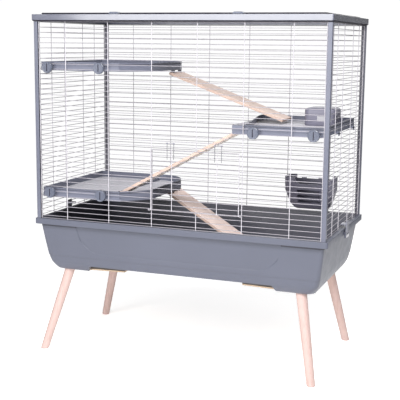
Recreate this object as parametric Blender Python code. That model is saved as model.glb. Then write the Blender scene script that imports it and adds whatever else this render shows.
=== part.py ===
"""Multi-level small-animal cage on legs: a plastic tub on four splayed wooden legs, a wire cage with a
hinged roof and a fold-down door, three hung platforms, three lifting ramps, a hay feeder and a food bowl.
Metres, +Z up, front towards -Y. The origin is on the floor under the middle of the cage."""

import math

import bmesh
import bpy
from mathutils import Matrix, Vector

# ---- driving dimensions -------------------------------------------------------------------------

GAP = 0.0003  # between two pieces that rest on each other

# Tub: (how far the wall stands inside the rim, height, corner radius), up the outside and down the inside.
RIM_X, RIM_Y = 0.500, 0.261  # half length and half depth of the rim
RIM_TOP, RIM_LIP = 0.460, 0.019
WALL = 0.003
TUB_BASE, TUB_FLOOR = 0.2805, 0.304
TUB_OUTSIDE = [
    (0.0547, TUB_BASE, 0.022),
    (0.0461, 0.2872, 0.023),
    (0.0388, 0.2987, 0.021),
    (0.0340, 0.3100, 0.018),
    (0.0285, 0.3310, 0.015),
    (0.0215, 0.3800, 0.012),
    (0.0137, 0.4400, 0.009),
    (0.0137, RIM_TOP - WALL, 0.009),
]
TUB_INSIDE = [
    (0.0167, RIM_TOP, 0.007),
    (0.0245, 0.3800, 0.010),
    (0.0315, 0.3310, 0.013),
    (0.0375, 0.3100, 0.016),
    (0.0470, TUB_FLOOR, 0.018),
]
POD_X = 0.322  # the tub hangs lower beyond this
MIDDLE_BASE = 0.3005  # underside between the two pods

# Legs
FEET = {
    "front_left": (-0.485, -0.238),
    "front_right": (0.458, -0.243),
    "back_left": (-0.474, 0.208),
    "back_right": (0.461, 0.250),
}
LEG_TOPS = {
    "front_left": (-0.4090, -0.186),
    "front_right": (0.4045, -0.186),
    "back_left": (-0.4090, 0.186),
    "back_right": (0.4045, 0.186),
}
LEG_R_FOOT, LEG_R_TOP = 0.01375, 0.0175
BOARD_Z = (TUB_BASE, 0.2998)
BOARD_INNER_X = 0.208
STUD_R, STUD_Z = 0.004, (0.252, 0.292)

# Cage shell
POST_X, POST_Y = 0.4925, 0.2585
POST_W, POST_T = 0.0142, 0.0015  # a square tube
FRAME_X, FRAME_Y, FRAME_Z = 0.4965, 0.265, (1.108, 1.130)
FRAME_RAIL = 0.022
PANEL_DEPTH = 0.0043  # two layers of wire and the gap between them
WIRE_LAYER = 0.002
PANEL_Z = (RIM_TOP + GAP, FRAME_Z[0] - GAP)
PANEL_BORDER = 0.003
ROWS, ROW_FIRST, ROW_PITCH = 38, 0.4702, 0.016737  # level wires above the panel's lower border
FRONT_Y = 0.25215  # middle of the front and back panels
SIDE_X = 0.48615  # middle of the side panels
FRONT_HALF = 0.4780
SIDE_HALF = 0.2440
FRONT_COLUMNS = [0.1515 * (i - 2.5) - 0.0015 for i in range(6)]
BACK_COLUMNS = [0.1510 * (i - 2.5) + 0.0035 for i in range(6)]
SIDE_COLUMNS = (-0.156, -0.066, 0.066, 0.156)
PANEL_LEVELS = [ROW_FIRST + ROW_PITCH * row for row in range(ROWS)]

# Roof
LID_X, LID_Y, LID_Z = 0.472, 0.250, (1.1310, 1.1350)
LID_OPENING = (0.436, 0.208)
LID_AXIS_Y, LID_AXIS_Z = 0.2482, 1.1335
ROOF_HALF_X, ROOF_HALF_Y, ROOF_Z = 0.452, 0.226, 1.1284
ROOF_ROWS = 26
ROOF_COLUMNS = (-0.2264, 0.0, 0.2264)
HINGE_X, NOTCH_HALF_X = 0.300, 0.013
CATCH_X, CATCH_W = 0.205, 0.034
CATCH_Y, CATCH_Z = (-0.2625, -0.2350), (1.1306, 1.1372)
CATCH_TRAVEL = 0.006

# Front door, hinged at its lower edge in front of the wires
DOOR_X = (-0.0785, 0.2185)
DOOR_Z = (0.5165, 0.7130)
DOOR_AXIS_Y, DOOR_AXIS_Z = -0.2580, 0.5185
DOORWAY_X = (-0.0745, 0.2145)
DOORWAY_Z = (0.5190, 0.7095)
DOOR_ROWS, DOOR_COLUMNS = 11, (-0.0755, 0.0755)
LATCH_X = (-0.009, 0.1495)
LATCH_W, LATCH_Z = 0.0245, (0.682, 0.735)

# Platforms: floor level inside, and the heights of their walls
TRAY_FRONT, TRAY_BACK = -0.244, 0.190
TRAY_WALL, TRAY_FLOOR = 0.003, 0.009  # wall thickness, floor above the wall's lower edge
LEFT_TRAY_X = (-0.476, -0.2413)
LANDING_X = (-0.2410, -0.1180)
UPPER_Z, LOWER_Z, RIGHT_Z = (0.951, 0.979), (0.533, 0.565), (0.771, 0.800)
DIVIDER = 0.017  # height of the low walls where a platform meets its landing
HOOK_Y = (-0.110, 0.110)
KNOB_R, KNOB_Y = 0.0185, (-0.2648, -0.2556)
SHAFT_R = 0.0022
KNOBS = {
    "upper_left": (-0.444, 0.9610),
    "upper_right": (-0.258, 0.9610),
    "lower_left": (-0.441, 0.5505),
    "lower_right": (-0.255, 0.5505),
    "side_left": (0.259, 0.7770),
    "side_right": (0.447, 0.7770),
}

# Ramps: pivot, middle in Y, width, slope down away from the pivot, length
RAMP_T = 0.009
RAMP_END = 0.0045  # board beyond its pivot
NOTCH_W, NOTCH_DEPTH, NOTCH_Y = 0.013, 0.008, 0.030
LUG_W = 0.011
PIN_R, PIN_HOLE_R = 0.0015, 0.0019
RAMPS = {
    "upper": ((-0.128, 0.9395), 0.075, 0.110, 20.0, 0.4250),
    "middle": ((0.178, 0.768), -0.150, 0.100, 180.0 - 28.7, 0.4590),
    "lower": ((-0.128, 0.5265), 0.065, 0.110, 32.0, 0.4070),
}

# Accessories
FEEDER_X, FEEDER_Y, FEEDER_Z = 0.330, (0.155, 0.2465), (0.475, 0.590)
BOWL_X, BOWL_Y, BOWL_Z = (0.342, 0.446), (0.020, 0.125), (0.7803, 0.8200)
HOOD_TOP = 0.8420
CLIP_AXIS_X, CLIP_AXIS_Z = 0.5052, 0.4450
CLIP_Y = (-0.032, 0.008)
CLIP_BASE_Z, CLIP_LEVER_Z = (0.4302, 0.4488), (0.4424, 0.4840)
CLIP_FORK_Z = 0.4412  # the base is solid below this, and forked round the lever above

# ---- scene and materials ------------------------------------------------------------------------

for old in list(bpy.data.objects):
    bpy.data.objects.remove(old)

PARTS = bpy.data.collections.new("rabbit_hutch")
CUTTERS = bpy.data.collections.new("cutters")
for collection in (PARTS, CUTTERS):
    bpy.context.scene.collection.children.link(collection)


def material(name, colour, roughness, metallic=0.0):
    made = bpy.data.materials.new(name)
    made.use_nodes = True
    shader = made.node_tree.nodes["Principled BSDF"]
    shader.inputs["Base Color"].default_value = (*colour, 1.0)
    shader.inputs["Roughness"].default_value = roughness
    shader.inputs["Metallic"].default_value = metallic
    return made


TUB_GREY = material("tub_grey", (0.235, 0.255, 0.335), 0.45)
FRAME_GREY = material("frame_grey", (0.290, 0.300, 0.385), 0.40)
TRAY_GREY = material("tray_grey", (0.260, 0.275, 0.355), 0.42)
KNOB_GREY = material("knob_grey", (0.270, 0.300, 0.400), 0.38)
DARK_GREY = material("dark_grey", (0.095, 0.095, 0.135), 0.45)
BEECH = material("beech", (0.800, 0.590, 0.470), 0.60)
BIRCH = material("birch_ply", (0.780, 0.640, 0.520), 0.65)
WIRE = material("painted_wire", (0.620, 0.600, 0.650), 0.35, 0.3)
STEEL = material("steel", (0.550, 0.550, 0.570), 0.30, 1.0)
BOARD = material("board_brown", (0.220, 0.170, 0.130), 0.70)

# ---- modelling tools ----------------------------------------------------------------------------


def add(name, bm, look, smooth=False):
    """A mesh object from bm: a part when it has a material, or else a cutter."""
    bmesh.ops.recalc_face_normals(bm, faces=bm.faces)
    mesh = bpy.data.meshes.new(name)
    bm.to_mesh(mesh)
    bm.free()
    made = bpy.data.objects.new(name, mesh)
    if look:
        mesh.materials.append(look)
        PARTS.objects.link(made)
    else:
        made.hide_render = True
        made.display_type = "WIRE"
        CUTTERS.objects.link(made)
    if smooth:
        mesh.shade_smooth()
        mesh.set_sharp_from_angle(angle=math.radians(35))
    return made


def block_into(bm, low, high):
    """A box between two corners, added to bm."""
    size = Vector(high) - Vector(low)
    middle = (Vector(high) + Vector(low)) / 2
    place = Matrix.Translation(middle) @ Matrix.Diagonal((*size, 1.0))
    bmesh.ops.create_cube(bm, size=1.0, matrix=place)


def blocks(name, corners, look=None):
    bm = bmesh.new()
    for low, high in corners:
        block_into(bm, low, high)
    return add(name, bm, look)


def block(name, low, high, look=None):
    return blocks(name, [(low, high)], look)


def rod(name, centre, axis, radius, length, look=None, sides=16):
    """A cylinder whose middle is at centre, along "X", "Y" or "Z"."""
    turn = {"X": Matrix.Rotation(math.pi / 2, 4, "Y"), "Y": Matrix.Rotation(math.pi / 2, 4, "X")}
    bm = bmesh.new()
    place = Matrix.Translation(centre) @ turn.get(axis, Matrix.Identity(4))
    bmesh.ops.create_cone(
        bm, cap_ends=True, segments=sides, radius1=radius, radius2=radius, depth=length, matrix=place
    )
    return add(name, bm, look, smooth=True)


def splayed(name, low, high, radii, look=None, sides=20):
    """A tapered rod with level ends, between two points at different heights."""
    low, high = Vector(low), Vector(high)
    bm = bmesh.new()
    bmesh.ops.create_cone(
        bm, cap_ends=True, segments=sides, radius1=radii[0], radius2=radii[1], depth=high.z - low.z
    )
    for vertex in bm.verts:
        end = high if vertex.co.z > 0 else low
        vertex.co.xy += end.xy
        vertex.co.z = end.z
    return add(name, bm, look, smooth=True)


def rounded_ring(x_range, y_range, radius, z, steps=5):
    """Points round a rectangle with rounded corners, anticlockwise."""
    points = []
    corners = (
        (x_range[1] - radius, y_range[1] - radius, 0),
        (x_range[0] + radius, y_range[1] - radius, 90),
        (x_range[0] + radius, y_range[0] + radius, 180),
        (x_range[1] - radius, y_range[0] + radius, 270),
    )
    for x, y, start in corners:
        for step in range(steps + 1):
            angle = math.radians(start + 90 * step / steps)
            points.append((x + radius * math.cos(angle), y + radius * math.sin(angle), z))
    return points


def loft(name, rings, look=None):
    """A closed solid through rings of equally many points, capped at the first and last ring."""
    bm = bmesh.new()
    levels = [[bm.verts.new(point) for point in ring] for ring in rings]
    count = len(levels[0])
    for below, above in zip(levels, levels[1:]):
        for i in range(count):
            j = (i + 1) % count
            bm.faces.new((below[i], below[j], above[j], above[i]))
    bm.faces.new(levels[0])
    bm.faces.new(levels[-1])
    return add(name, bm, look, smooth=True)


def slab(name, outline, low_z, high_z, look=None):
    """A flat outline in X and Y, given a thickness."""
    curve = bpy.data.curves.new(name, "CURVE")
    curve.dimensions = "2D"
    curve.fill_mode = "BOTH"
    curve.extrude = (high_z - low_z) / 2
    spline = curve.splines.new("POLY")
    spline.points.add(len(outline) - 1)
    for point, (x, y) in zip(spline.points, outline):
        point.co = (x, y, 0.0, 1.0)
    spline.use_cyclic_u = True
    guide = bpy.data.objects.new(name + "_outline", curve)
    guide.location.z = (low_z + high_z) / 2
    PARTS.objects.link(guide)
    bpy.context.view_layer.update()
    mesh = bpy.data.meshes.new_from_object(guide.evaluated_get(bpy.context.evaluated_depsgraph_get()))
    bm = bmesh.new()
    bm.from_mesh(mesh)
    bm.transform(guide.matrix_world)
    bmesh.ops.remove_doubles(bm, verts=bm.verts, dist=1e-6)
    bpy.data.objects.remove(guide)
    bpy.data.meshes.remove(mesh)
    return add(name, bm, look)


def inset(outline, distance):
    """The outline moved inwards by distance, for one that runs anticlockwise."""
    moved = []
    for before, here, after in zip(outline[-1:] + outline[:-1], outline, outline[1:] + outline[:1]):
        arriving = (Vector(here) - Vector(before)).normalized()
        leaving = (Vector(after) - Vector(here)).normalized()
        inward = Vector((-arriving.y - leaving.y, arriving.x + leaving.x)).normalized()
        stretch = distance / inward.dot(Vector((-arriving.y, arriving.x)))
        moved.append(tuple(Vector(here) + inward * stretch))
    return moved


def boolean(target, operand, operation):
    modifier = target.modifiers.new(operation.lower(), "BOOLEAN")
    modifier.operation = operation
    modifier.object = operand
    modifier.solver = "EXACT"


def cut(target, *operands):
    for operand in operands:
        boolean(target, operand, "DIFFERENCE")


def join(target, *operands):
    for operand in operands:
        boolean(target, operand, "UNION")


def pivot(made, point):
    """Puts the object's origin on its joint, leaving its shape where it is."""
    made.data.transform(Matrix.Translation(-Vector(point)))
    made.location = point


SIDES = {"left": -1, "right": 1}
DEPTHS = {"front": -1, "back": 1}
CORNERS = {f"{depth}_{side}": (SIDES[side], DEPTHS[depth]) for depth in DEPTHS for side in SIDES}


def spread(a, b, sign):
    """The range from a to b, mirrored when sign is -1."""
    return tuple(sorted((sign * a, sign * b)))


# ---- tub and legs -------------------------------------------------------------------------------


def tub_ring(inside, z, radius):
    x, y = RIM_X - inside, RIM_Y - inside
    return rounded_ring((-x, x), (-y, y), radius, z)


def make_tub():
    lip_base = RIM_TOP - RIM_LIP
    rim = [
        (WALL, RIM_TOP - WALL, 0.004),
        (WALL, lip_base, 0.004),
        (0.0, lip_base, 0.006),
        (0.0, RIM_TOP, 0.006),
    ]
    tub = loft("tub", [tub_ring(*section) for section in TUB_OUTSIDE + rim + TUB_INSIDE], TUB_GREY)
    hollow = loft(
        "tub_underside",
        [rounded_ring((-0.440, 0.440), (-0.201, 0.201), 0.030, z) for z in (0.27, BOARD_Z[1] + GAP)],
    )
    step = block("tub_middle", (-POD_X, -0.3, 0.27), (POD_X, 0.3, MIDDLE_BASE))
    cut(tub, hollow, step)


def leg_point(place, z):
    """Where a leg's middle line is at height z."""
    share = z / BOARD_Z[0]
    return tuple(foot + (top - foot) * share for foot, top in zip(FEET[place], LEG_TOPS[place])) + (z,)


def stud_hole(name, place, z_range):
    radius = STUD_R + GAP * 1.5
    low, high = (leg_point(place, z) for z in z_range)
    return splayed(name, low, high, (radius, radius), sides=16)


def make_legs():
    top = BOARD_Z[0] - GAP
    for place in CORNERS:
        leg = splayed(
            f"leg_{place}",
            leg_point(place, 0.0),
            leg_point(place, top),
            (LEG_R_FOOT, LEG_R_TOP),
            BEECH,
        )
        cut(leg, stud_hole(f"leg_hole_{place}", place, (STUD_Z[0] - GAP, top + 0.005)))
        low, high = (leg_point(place, z) for z in STUD_Z)
        splayed(f"leg_stud_{place}", low, high, (STUD_R, STUD_R), STEEL, sides=12)


def make_leg_boards():
    """One board under each end of the tub: wide inside the pod, and drawn in where it reaches past it."""
    for side, sign in SIDES.items():
        half = [
            (BOARD_INNER_X, 0.180),
            (POD_X + 0.004, 0.190),
            (POD_X + 0.008, 0.199),
            (0.415, 0.199),
            (0.437, 0.178),
        ]
        outline = [(sign * x, y) for x, y in half] + [(sign * x, -y) for x, y in reversed(half)]
        if sign > 0:
            outline.reverse()
        board = slab(f"leg_board_{side}", outline, *BOARD_Z, look=BOARD)
        hole_z = (BOARD_Z[0] - 0.005, STUD_Z[1] + GAP)
        for depth in DEPTHS:
            cut(board, stud_hole(f"board_hole_{depth}_{side}", f"{depth}_{side}", hole_z))


# ---- cage shell ---------------------------------------------------------------------------------


def make_posts():
    low, high = PANEL_Z
    for place, (sx, sy) in CORNERS.items():
        x, y = spread(POST_X - POST_W, POST_X, sx), spread(POST_Y - POST_W, POST_Y, sy)
        post = block(f"post_{place}", (x[0], y[0], low), (x[1], y[1], high), FRAME_GREY)
        bore = block(
            f"post_bore_{place}",
            (x[0] + POST_T, y[0] + POST_T, low - 0.01),
            (x[1] - POST_T, y[1] - POST_T, high + 0.01),
        )
        cut(post, bore)


def frame_ring(name, outer, inner, z_range, radius, look):
    """A level frame between two rectangles, each given by its half lengths."""
    low, high = z_range
    x_range, y_range = (-outer[0], outer[0]), (-outer[1], outer[1])
    ring = loft(name, [rounded_ring(x_range, y_range, radius, z) for z in z_range], look)
    start, end = (-inner[0], -inner[1], low - 0.01), (inner[0], inner[1], high + 0.01)
    opening = block(f"{name}_opening", start, end)
    cut(ring, opening)
    return ring, opening


def make_top_frame():
    inner = (FRAME_X - FRAME_RAIL, FRAME_Y - FRAME_RAIL)
    frame_ring("top_frame", (FRAME_X, FRAME_Y), inner, FRAME_Z, 0.004, FRAME_GREY)


def evenly(z_range, rows):
    """The levels of the wires that divide a panel into equal rows."""
    low, high = z_range
    pitch = (high - low - PANEL_BORDER) / rows
    return [low + PANEL_BORDER / 2 + pitch * row for row in range(1, rows)]


def wire_panel(name, half_width, z_range, levels, columns, look=WIRE):
    """Crossed wires in an upright frame about the origin. The level wires are the layer nearer -Y and
    the upright ones the layer nearer +Y. They are joined only at the border."""
    half_depth = PANEL_DEPTH / 2
    low, high = z_range
    inner_x = half_width - PANEL_BORDER
    inner_low, inner_high = low + PANEL_BORDER, high - PANEL_BORDER
    panel = block(name, (-half_width, -half_depth, low), (half_width, half_depth, high), look)
    between = (-half_depth + WIRE_LAYER, half_depth - WIRE_LAYER)
    layer_gap = block(
        f"{name}_between", (-inner_x, between[0], inner_low), (inner_x, between[1], inner_high)
    )
    wire = WIRE_LAYER / 2
    bottoms = [inner_low] + [level + wire for level in levels]
    tops = [level - wire for level in levels] + [inner_high]
    row_gaps = [
        ((-inner_x, -half_depth - 0.001, bottom), (inner_x, 0.0, top))
        for bottom, top in zip(bottoms, tops)
    ]
    edges = [-inner_x] + [x + side * 0.00125 for x in columns for side in (-1, 1)] + [inner_x]
    column_gaps = [
        ((left, 0.0, inner_low), (right, half_depth + 0.001, inner_high))
        for left, right in zip(edges[::2], edges[1::2])
    ]
    cutters = (layer_gap, blocks(f"{name}_rows", row_gaps), blocks(f"{name}_columns", column_gaps))
    for cutter in cutters:
        cutter.parent = panel
    cut(panel, *cutters)
    return panel


def make_panels():
    # The front panel is turned round, so its columns run the other way.
    turned = [-x for x in reversed(FRONT_COLUMNS)]
    front = wire_panel("panel_front", FRONT_HALF, PANEL_Z, PANEL_LEVELS, turned)
    front.location.y = -FRONT_Y
    front.rotation_euler.z = math.pi
    edge, proud = 0.003, PANEL_DEPTH / 2 + 0.0002
    rim = block(
        "doorway_frame",
        (DOORWAY_X[0] - edge, -FRONT_Y - proud, DOORWAY_Z[0] - edge),
        (DOORWAY_X[1] + edge, -FRONT_Y + proud, DOORWAY_Z[1] + edge),
    )
    hole = block("doorway", (DOORWAY_X[0], -0.30, DOORWAY_Z[0]), (DOORWAY_X[1], -0.20, DOORWAY_Z[1]))
    join(front, rim)
    cut(front, hole)
    back = wire_panel("panel_back", FRONT_HALF, PANEL_Z, PANEL_LEVELS, BACK_COLUMNS)
    back.location.y = FRONT_Y
    for side, sign in SIDES.items():
        panel = wire_panel(f"panel_{side}", SIDE_HALF, PANEL_Z, PANEL_LEVELS, SIDE_COLUMNS)
        panel.location.x = sign * SIDE_X
        panel.rotation_euler.z = -sign * math.pi / 2


# ---- roof ---------------------------------------------------------------------------------------


def make_roof():
    lid_pivot = Vector((0.0, LID_AXIS_Y, LID_AXIS_Z))
    lid, opening = frame_ring("roof_lid", (LID_X, LID_Y), LID_OPENING, LID_Z, 0.012, FRAME_GREY)
    notches = []
    for sign in SIDES.values():
        hinge_x = sign * HINGE_X
        notches.append(((hinge_x - NOTCH_HALF_X, 0.2385, 1.12), (hinge_x + NOTCH_HALF_X, 0.26, 1.14)))
        catch_x = sign * CATCH_X
        back = CATCH_Y[1] + CATCH_TRAVEL + 0.001
        width = CATCH_W / 2 + 0.0006
        notches.append(((catch_x - width, -0.26, 1.12), (catch_x + width, back, 1.14)))
    notch_cutter = blocks("lid_notches", notches)
    cut(lid, notch_cutter)
    for piece in (lid, opening, notch_cutter):
        pivot(piece, lid_pivot)

    span = (-ROOF_HALF_Y, ROOF_HALF_Y)
    roof = wire_panel("roof_wire", ROOF_HALF_X, span, evenly(span, ROOF_ROWS), ROOF_COLUMNS)
    roof.rotation_euler.x = -math.pi / 2
    roof.parent = lid
    roof.location = Vector((0.0, 0.0, ROOF_Z)) - lid_pivot

    for side, sign in SIDES.items():
        make_roof_hinge(side, sign * HINGE_X)
        make_catch(side, sign * CATCH_X)


def make_roof_hinge(side, x):
    """A bored clip on the back rail, round a pin that spans a notch in the lid."""
    axis = (x, LID_AXIS_Y, LID_AXIS_Z)
    clip = block(
        f"roof_hinge_{side}",
        (x - 0.010, LID_AXIS_Y - 0.005, FRAME_Z[1] + GAP),
        (x + 0.010, LID_AXIS_Y + 0.005, CATCH_Z[1]),
        FRAME_GREY,
    )
    cut(clip, rod(f"roof_hinge_bore_{side}", axis, "X", PIN_HOLE_R, 0.04))
    pin = rod(f"roof_hinge_pin_{side}", axis, "X", PIN_R, 2 * NOTCH_HALF_X - 2 * GAP, STEEL, sides=12)
    pivot(pin, axis)


def make_catch(side, x):
    """A sliding catch in the roof's front edge, with a ridge for the finger."""
    half = CATCH_W / 2
    low, high = ((x + sign * half, y, z) for sign, y, z in zip((-1, 1), CATCH_Y, CATCH_Z))
    catch = block(f"lid_catch_{side}", low, high, KNOB_GREY)
    hollow = block(
        f"catch_hollow_{side}",
        (x - half + 0.004, -0.2555, CATCH_Z[1] - 0.002),
        (x + half - 0.004, -0.2420, CATCH_Z[1] + 0.01),
    )
    cut(catch, hollow)
    for piece in (catch, hollow):
        pivot(piece, (x, sum(CATCH_Y) / 2, CATCH_Z[0]))


# ---- front door ---------------------------------------------------------------------------------


def make_door():
    middle = sum(DOOR_X) / 2
    half_width = (DOOR_X[1] - DOOR_X[0]) / 2
    z_range = (DOOR_Z[0] - DOOR_AXIS_Z, DOOR_Z[1] - DOOR_AXIS_Z)
    door = wire_panel("front_door", half_width, z_range, evenly(z_range, DOOR_ROWS), DOOR_COLUMNS)
    rod_length = DOOR_X[1] - DOOR_X[0] + 0.018
    axle = rod("door_axle", (0.0, 0.0, 0.0), "X", PIN_R, rod_length, sides=12)
    join(door, axle)
    axle.parent = door
    door.location = (middle, DOOR_AXIS_Y, DOOR_AXIS_Z)
    door.rotation_euler.z = math.pi
    for side, sign in SIDES.items():
        x = middle + sign * (rod_length / 2 - 0.0045)
        bracket = block(
            f"door_hinge_{side}",
            (x - 0.004, -0.2612, DOOR_AXIS_Z - 0.0045),
            (x + 0.004, -FRONT_Y - PANEL_DEPTH / 2 - 2 * GAP, DOOR_AXIS_Z + 0.0045),
            DARK_GREY,
        )
        cut(bracket, rod(f"door_hinge_bore_{side}", (x, DOOR_AXIS_Y, DOOR_AXIS_Z), "X", PIN_HOLE_R, 0.02))
    for side, x in zip(SIDES, LATCH_X):
        make_latch(side, x)


def make_latch(side, x):
    """An upside-down U of wire in front of the door, with a finger tip at each bend."""
    y_back = DOOR_AXIS_Y - PANEL_DEPTH / 2 - 2 * GAP
    y_front = y_back - 0.0022
    half, wire = LATCH_W / 2, 0.0022
    latch = block(
        f"door_latch_{side}", (x - half, y_front, LATCH_Z[0]), (x + half, y_back, LATCH_Z[1]), STEEL
    )
    inside = block(
        f"latch_inside_{side}",
        (x - half + wire, -0.28, LATCH_Z[0] - 0.01),
        (x + half - wire, -0.25, LATCH_Z[1] - wire),
    )
    cut(latch, inside)
    tips = []
    for sign in (-1, 1):
        tip_x = x + sign * half
        low_corner = (tip_x - 0.0028, y_front - 0.0006, LATCH_Z[1] - 0.004)
        tips.append((low_corner, (tip_x + 0.0028, y_back + 0.0002, LATCH_Z[1] + 0.001)))
    finger_tips = blocks(f"latch_tips_{side}", tips)
    join(latch, finger_tips)
    for piece in (latch, inside, finger_tips):
        pivot(piece, (x, (y_front + y_back) / 2, LATCH_Z[0]))


# ---- platforms ----------------------------------------------------------------------------------


def left_outline():
    left, right = LEFT_TRAY_X
    return [(left, TRAY_FRONT), (right, TRAY_FRONT), (right, TRAY_BACK), (left, TRAY_BACK)]


def landing_outline():
    """The front corner is cut off at a slant and the back corner is rounded."""
    left, right = LANDING_X
    radius = 0.110
    middle = Vector((right - radius, TRAY_BACK - radius))
    angles = [math.radians(degrees) for degrees in range(0, 91, 15)]
    corner = [tuple(middle + radius * Vector((math.cos(angle), math.sin(angle)))) for angle in angles]
    return [(left, TRAY_FRONT), (-0.195, TRAY_FRONT), (right, -0.163)] + corner + [(left, TRAY_BACK)]


def right_outline():
    """The side nearer the middle of the cage widens towards the back."""
    return [
        (0.2255, TRAY_FRONT),
        (0.4750, TRAY_FRONT),
        (0.4750, TRAY_BACK),
        (0.1640, TRAY_BACK),
        (0.1500, 0.176),
        (0.1520, 0.140),
        (0.1700, 0.050),
        (0.1990, -0.090),
    ]


def make_tray(name, outline, z_range):
    """A tray with its floor a little above the lower edge of its walls."""
    low, high = z_range
    tray = slab(name, outline, low, high, TRAY_GREY)
    inside = inset(outline, TRAY_WALL)
    top = slab(f"{name}_top_pocket", inside, low + TRAY_FLOOR, high + 0.01)
    under = slab(f"{name}_under_pocket", inside, low - 0.01, low + TRAY_FLOOR - TRAY_WALL)
    cut(tray, top, under)
    return tray


def row_above(z):
    """The top of the first level wire whose top is above z."""
    first = ROW_FIRST + WIRE_LAYER / 2
    return first + ROW_PITCH * math.ceil((z - first) / ROW_PITCH)


def side_hooks(name, sign, tray_x, z_range):
    """Two hooks that hang a platform on a level wire of the side panel."""
    wire_top = row_above(z_range[0] + 0.0005)
    outer = SIDE_X + PANEL_DEPTH / 2 + 0.0005
    arms, tips = [], []
    for y in HOOK_Y:
        reach = spread(tray_x - 0.002, outer + 0.0018, sign)
        fall = spread(outer, outer + 0.0018, sign)
        arms.append(((reach[0], y - 0.009, wire_top + GAP), (reach[1], y + 0.009, wire_top + 0.007)))
        tips.append(((fall[0], y - 0.009, wire_top - 0.006), (fall[1], y + 0.009, wire_top + 0.004)))
    return blocks(f"{name}_hook_arms", arms), blocks(f"{name}_hook_tips", tips)


def ramp_lugs(name, ramp, high_z, reach=0.0):
    """Two lugs that hold a ramp's pin in the notches of its board."""
    (x, z), y = RAMPS[ramp][:2]
    half, width = 0.0045, LUG_W / 2
    lugs = [
        ((x - half, centre - width, z - half), (x + half + reach, centre + width, high_z))
        for centre in (y - NOTCH_Y, y + NOTCH_Y)
    ]
    bore = rod(f"{name}_bore", (x, y, z), "Y", PIN_HOLE_R, 0.12)
    return blocks(f"{name}_lugs", lugs), bore


def make_platforms():
    levels = {"upper": UPPER_Z, "lower": LOWER_Z}
    for level, z_range in levels.items():
        low, high = z_range
        join_x = LEFT_TRAY_X[1]
        open_side = (
            (join_x - 0.006, TRAY_FRONT + TRAY_WALL, low + DIVIDER),
            (join_x + 0.006, TRAY_BACK - TRAY_WALL, high + 0.01),
        )

        platform = make_tray(f"platform_{level}_left", left_outline(), z_range)
        join(platform, *side_hooks(platform.name, -1, -LEFT_TRAY_X[0], z_range))
        cut(platform, block(f"{platform.name}_open_side", *open_side))

        landing = make_tray(f"landing_{level}", landing_outline(), z_range)
        lugs, bore = ramp_lugs(landing.name, level, low + TRAY_FLOOR - 0.001)
        join(landing, lugs)
        cut(landing, block(f"{landing.name}_open_side", *open_side), bore)

    platform = make_tray("platform_right", right_outline(), RIGHT_Z)
    join(platform, *side_hooks("platform_right", 1, 0.4750, RIGHT_Z))
    make_ramp_bracket()


def make_ramp_bracket():
    """A wedge against the right platform's slanting side, which carries the middle ramp."""
    outline = [
        (0.1870, TRAY_FRONT),
        (0.2220, TRAY_FRONT),
        (0.1957, -0.092),
        (0.1905, -0.070),
        (0.1870, -0.070),
    ]
    bracket = slab("ramp_bracket", outline, RIGHT_Z[0], RIGHT_Z[1] - 0.002, TRAY_GREY)
    lugs, bore = ramp_lugs("ramp_bracket", "middle", 0.7790, reach=0.0065)
    join(bracket, lugs)
    cut(bracket, bore)


def make_knobs():
    """Quarter-turn clamps: a slotted disc in front of the wires and a shaft through to the platform."""
    disc_depth = KNOB_Y[1] - KNOB_Y[0]
    shaft_end = TRAY_FRONT - GAP
    for place, (x, z) in KNOBS.items():
        centre = (x, sum(KNOB_Y) / 2, z)
        knob = rod(f"knob_{place}", centre, "Y", KNOB_R, disc_depth, KNOB_GREY, sides=28)
        shaft_y = (KNOB_Y[1] - 0.002, shaft_end)
        shaft_middle, shaft_length = (x, sum(shaft_y) / 2, z), shaft_y[1] - shaft_y[0]
        shaft = rod(f"knob_shaft_{place}", shaft_middle, "Y", SHAFT_R, shaft_length, sides=12)
        slot = block(
            f"knob_slot_{place}",
            (x - 0.0016, KNOB_Y[0] - 0.01, z - 0.012),
            (x + 0.0016, KNOB_Y[0] + 0.003, z + 0.012),
        )
        join(knob, shaft)
        cut(knob, slot)
        for piece in (knob, shaft, slot):
            pivot(piece, centre)


# ---- ramps --------------------------------------------------------------------------------------


def make_ramps():
    """Each board is built level, running from its pivot towards +X, and then turned down to its slope."""
    for name, ((x, z), y, width, slope, length) in RAMPS.items():
        half, thick = width / 2, RAMP_T / 2
        board = block(f"ramp_{name}", (-RAMP_END, -half, -thick), (length, half, thick), BIRCH)
        notch = [
            ((-0.02, centre - NOTCH_W / 2, -0.01), (NOTCH_DEPTH, centre + NOTCH_W / 2, 0.01))
            for centre in (-NOTCH_Y, NOTCH_Y)
        ]
        cutters = (
            blocks(f"ramp_{name}_notches", notch),
            rod(f"ramp_{name}_bore", (0, 0, 0), "Y", PIN_HOLE_R, 0.13),
        )
        for cutter in cutters:
            cutter.parent = board
        cut(board, *cutters)
        board.location = (x, y, z)
        board.rotation_euler.y = math.radians(slope)
        rod(f"ramp_pin_{name}", (x, y, z), "Y", PIN_R, width - 0.006, STEEL, sides=12)


# ---- accessories and clips ----------------------------------------------------------------------


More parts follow.
